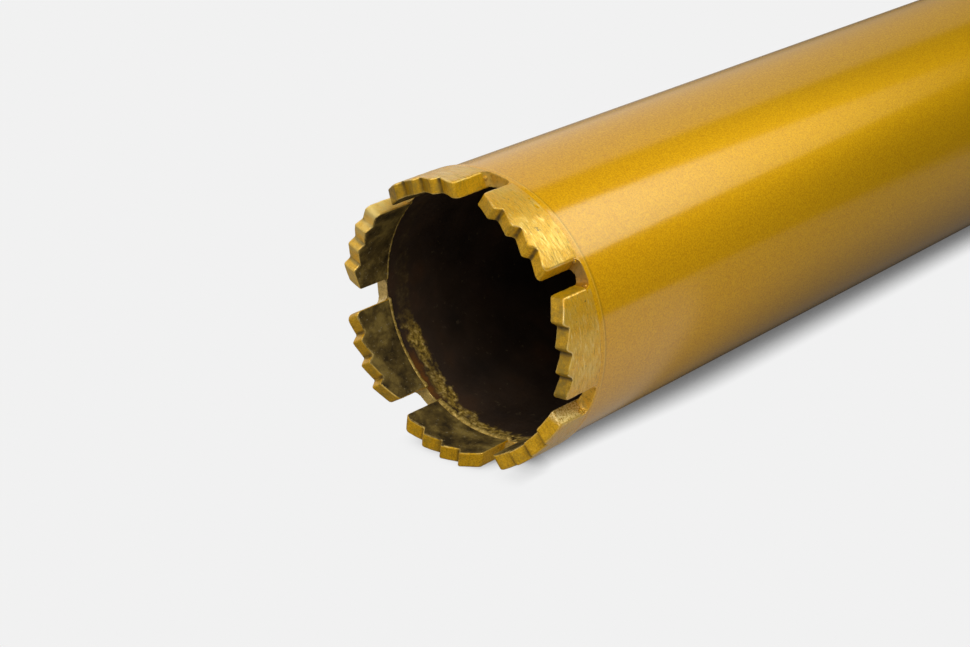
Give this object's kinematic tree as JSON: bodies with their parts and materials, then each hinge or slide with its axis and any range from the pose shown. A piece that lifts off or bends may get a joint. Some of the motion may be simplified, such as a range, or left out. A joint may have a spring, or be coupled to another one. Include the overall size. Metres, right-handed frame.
{
  "type": "diamond core bit",
  "caption": "Long tubular core drill bit with saw-toothed diamond segments round its open end, water slots between them and a threaded drive hub at the other end.",
  "frame": {"origin": "centre of the hub's end face, on which the bit stands", "axes": "+Z along the bit's axis from the hub to the segmented crown; the first water slot is centred on -Y"},
  "size_m": [0.068, 0.068, 0.4461],
  "materials": {
    "gold_paint": "semi-gloss metallic gold paint with a fine flake",
    "segment_matrix": "gold paint over sintered metal, ground along the ring, worn on the tooth tips",
    "silver_solder": "solidified solder, bright and slightly lumpy"
  },
  "bodies": {
    "root": {"barrel": "gold_paint", "hub": "gold_paint", "hub_weld": "gold_paint", "segment_1": "segment_matrix", "segment_2": "segment_matrix", "segment_3": "segment_matrix", "segment_4": "segment_matrix", "segment_5": "segment_matrix", "segment_6": "segment_matrix", "segment_7": "segment_matrix", "braze_1": "silver_solder", "braze_2": "silver_solder", "braze_3": "silver_solder", "braze_4": "silver_solder", "braze_5": "silver_solder", "braze_6": "silver_solder", "braze_7": "silver_solder"}
  },
  "joints": []
}
